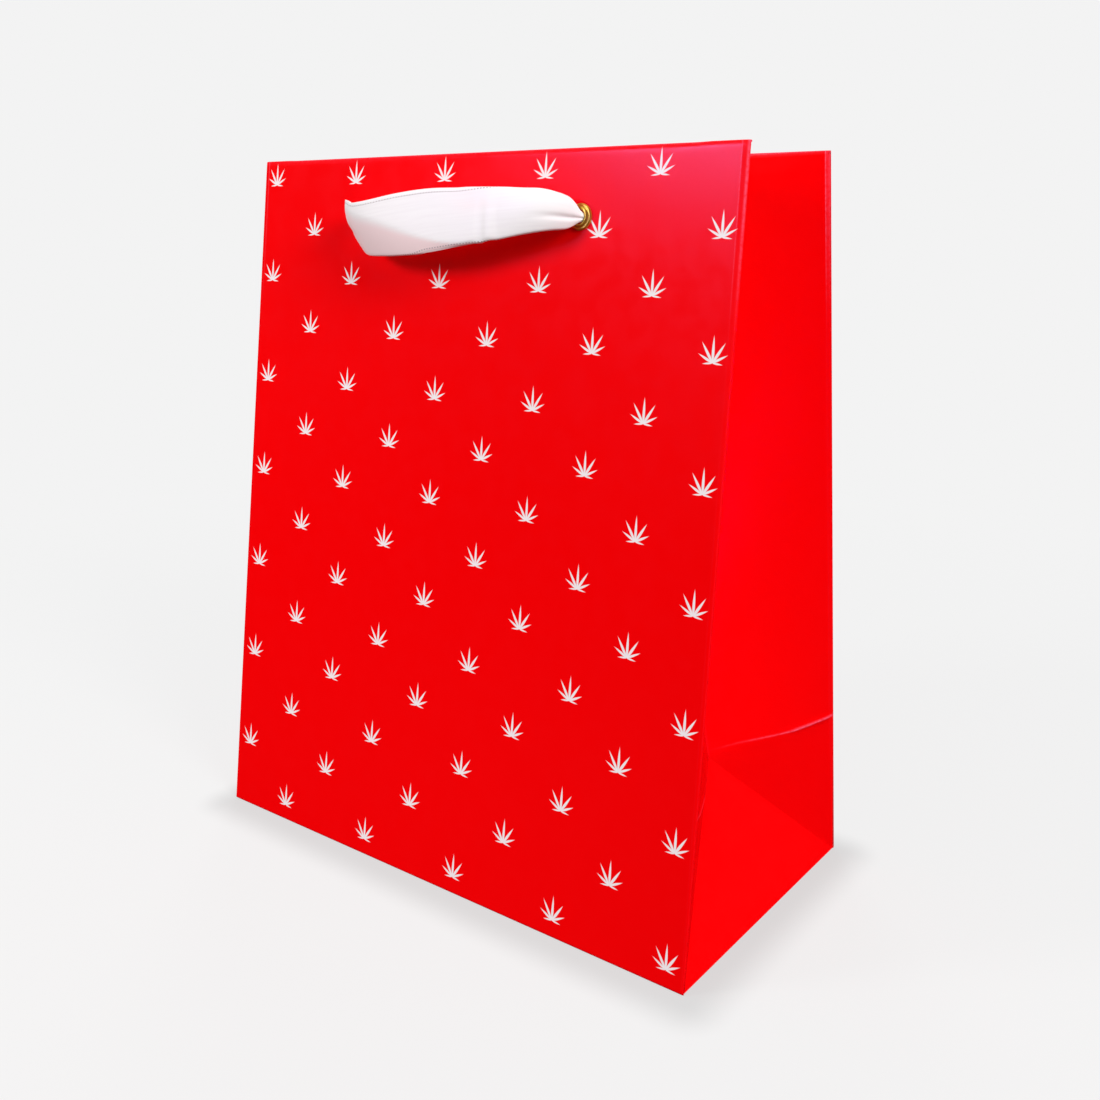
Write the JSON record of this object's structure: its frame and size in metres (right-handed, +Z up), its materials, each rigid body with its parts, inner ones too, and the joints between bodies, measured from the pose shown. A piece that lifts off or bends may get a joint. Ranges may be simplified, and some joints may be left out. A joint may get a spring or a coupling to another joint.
{
  "type": "gift bag",
  "caption": "Paper gift bag with folded-in gusset sides that open and close at the mouth, brass eyelets and short satin ribbon handles that lift.",
  "frame": {"origin": "centre of the bag's footprint, on the surface it stands on", "axes": "+X along the bag's width to the right seen from the front, +Y from the front wall to the back wall, +Z up"},
  "size_m": [0.203, 0.106, 0.2446],
  "materials": {
    "printed_paper": "gloss film over red print with small pale leaf motifs, white inside",
    "grey_card": "matt uncoated board",
    "brass": "polished, lightly lacquered",
    "satin_ribbon": "white single-face satin with a woven selvedge"
  },
  "bodies": {
    "base": {"base_flap_front": "printed_paper", "base_flap_back": "printed_paper", "base_flap_left": "printed_paper", "base_flap_right": "printed_paper", "base_board": "grey_card"},
    "front_wall": {"front_panel": "printed_paper", "front_top_card": "grey_card", "front_hem": "printed_paper", "front_left_eyelet": "brass", "front_left_eyelet_washer": "brass", "front_left_ribbon_knot": "satin_ribbon", "front_right_eyelet": "brass", "front_right_eyelet_washer": "brass", "front_right_ribbon_knot": "satin_ribbon"},
    "front_left_gusset": {"gusset_front_left": "printed_paper", "gusset_hem_front_left": "printed_paper"},
    "front_left_side_fold": {"side_triangle_front_left": "printed_paper"},
    "front_right_gusset": {"gusset_front_right": "printed_paper", "gusset_hem_front_right": "printed_paper"},
    "front_right_side_fold": {"side_triangle_front_right": "printed_paper"},
    "front_handle": {"front_ribbon_handle": "satin_ribbon"},
    "back_wall": {"back_panel": "printed_paper", "back_top_card": "grey_card", "back_hem": "printed_paper", "back_left_eyelet": "brass", "back_left_eyelet_washer": "brass", "back_left_ribbon_knot": "satin_ribbon", "back_right_eyelet": "brass", "back_right_eyelet_washer": "brass", "back_right_ribbon_knot": "satin_ribbon", "seam_flap": "printed_paper"},
    "back_left_gusset": {"gusset_back_left": "printed_paper", "gusset_hem_back_left": "printed_paper"},
    "back_left_side_fold": {"side_triangle_back_left": "printed_paper"},
    "back_right_gusset": {"gusset_back_right": "printed_paper", "gusset_hem_back_right": "printed_paper"},
    "back_right_side_fold": {"side_triangle_back_right": "printed_paper"},
    "back_handle": {"back_ribbon_handle": "satin_ribbon"},
    "left_bottom_fold": {"bottom_triangle_left": "printed_paper"},
    "right_bottom_fold": {"bottom_triangle_right": "printed_paper"}
  },
  "joints": [
    {"name": "front_wall_lean", "type": "hinge", "parent": "base", "child": "front_wall", "pos_m": [0, -0.053, 0], "axis": [-1, 0, 0], "range_deg": [-3.4, 3.4]},
    {"name": "front_left_gusset_fold", "type": "hinge", "parent": "front_wall", "child": "front_left_gusset", "pos_m": [-0.1011, -0.03639, 0.14908], "axis": [0, -0.1054, -0.9944], "range_deg": [-19.1, 19.1]},
    {"name": "front_left_triangle_fold", "type": "hinge", "parent": "front_wall", "child": "front_left_side_fold", "pos_m": [-0.1011, -0.04946, 0.02577], "axis": [0, -0.1054, -0.9944], "range_deg": [-7.5, 7.5]},
    {"name": "front_right_gusset_fold", "type": "hinge", "parent": "front_wall", "child": "front_right_gusset", "pos_m": [0.1011, -0.03639, 0.14908], "axis": [0, 0.1054, 0.9944], "range_deg": [-19.1, 19.1]},
    {"name": "front_right_triangle_fold", "type": "hinge", "parent": "front_wall", "child": "front_right_side_fold", "pos_m": [0.1011, -0.04946, 0.02577], "axis": [0, 0.1054, 0.9944], "range_deg": [-7.5, 7.5]},
    {"name": "front_handle_lift", "type": "slide", "parent": "front_wall", "child": "front_handle", "axis": [0, 0.1054, 0.9944], "range_m": [0, 0.03]},
    {"name": "back_wall_lean", "type": "hinge", "parent": "base", "child": "back_wall", "pos_m": [0, 0.053, 0], "axis": [1, 0, 0], "range_deg": [-3.4, 3.4]},
    {"name": "back_left_gusset_fold", "type": "hinge", "parent": "back_wall", "child": "back_left_gusset", "pos_m": [-0.1011, 0.03639, 0.14908], "axis": [0, -0.1054, 0.9944], "range_deg": [-19.1, 19.1]},
    {"name": "back_left_triangle_fold", "type": "hinge", "parent": "back_wall", "child": "back_left_side_fold", "pos_m": [-0.1011, 0.04946, 0.02577], "axis": [0, -0.1054, 0.9944], "range_deg": [-7.5, 7.5]},
    {"name": "back_right_gusset_fold", "type": "hinge", "parent": "back_wall", "child": "back_right_gusset", "pos_m": [0.1011, 0.03639, 0.14908], "axis": [0, 0.1054, -0.9944], "range_deg": [-19.1, 19.1]},
    {"name": "back_right_triangle_fold", "type": "hinge", "parent": "back_wall", "child": "back_right_side_fold", "pos_m": [0.1011, 0.04946, 0.02577], "axis": [0, 0.1054, -0.9944], "range_deg": [-7.5, 7.5]},
    {"name": "back_handle_lift", "type": "slide", "parent": "back_wall", "child": "back_handle", "axis": [0, -0.1054, 0.9944], "range_m": [0, 0.03]},
    {"name": "left_bottom_fold_turn", "type": "hinge", "parent": "base", "child": "left_bottom_fold", "pos_m": [-0.1011, 0, 0.0003], "axis": [0, 1, 0], "range_deg": [-7.5, 7.5]},
    {"name": "right_bottom_fold_turn", "type": "hinge", "parent": "base", "child": "right_bottom_fold", "pos_m": [0.1011, 0, 0.0003], "axis": [0, -1, 0], "range_deg": [-7.5, 7.5]}
  ],
  "couplings": [
    {"joint": "front_left_gusset_fold", "follows": "front_wall_lean", "ratio": 5.6},
    {"joint": "front_left_triangle_fold", "follows": "front_wall_lean", "ratio": 2.2},
    {"joint": "front_right_gusset_fold", "follows": "front_wall_lean", "ratio": 5.6},
    {"joint": "front_right_triangle_fold", "follows": "front_wall_lean", "ratio": 2.2},
    {"joint": "back_wall_lean", "follows": "front_wall_lean", "ratio": 1},
    {"joint": "back_left_gusset_fold", "follows": "front_wall_lean", "ratio": 5.6},
    {"joint": "back_left_triangle_fold", "follows": "front_wall_lean", "ratio": 2.2},
    {"joint": "back_right_gusset_fold", "follows": "front_wall_lean", "ratio": 5.6},
    {"joint": "back_right_triangle_fold", "follows": "front_wall_lean", "ratio": 2.2},
    {"joint": "left_bottom_fold_turn", "follows": "front_wall_lean", "ratio": 2.2},
    {"joint": "right_bottom_fold_turn", "follows": "front_wall_lean", "ratio": 2.2}
  ]
}
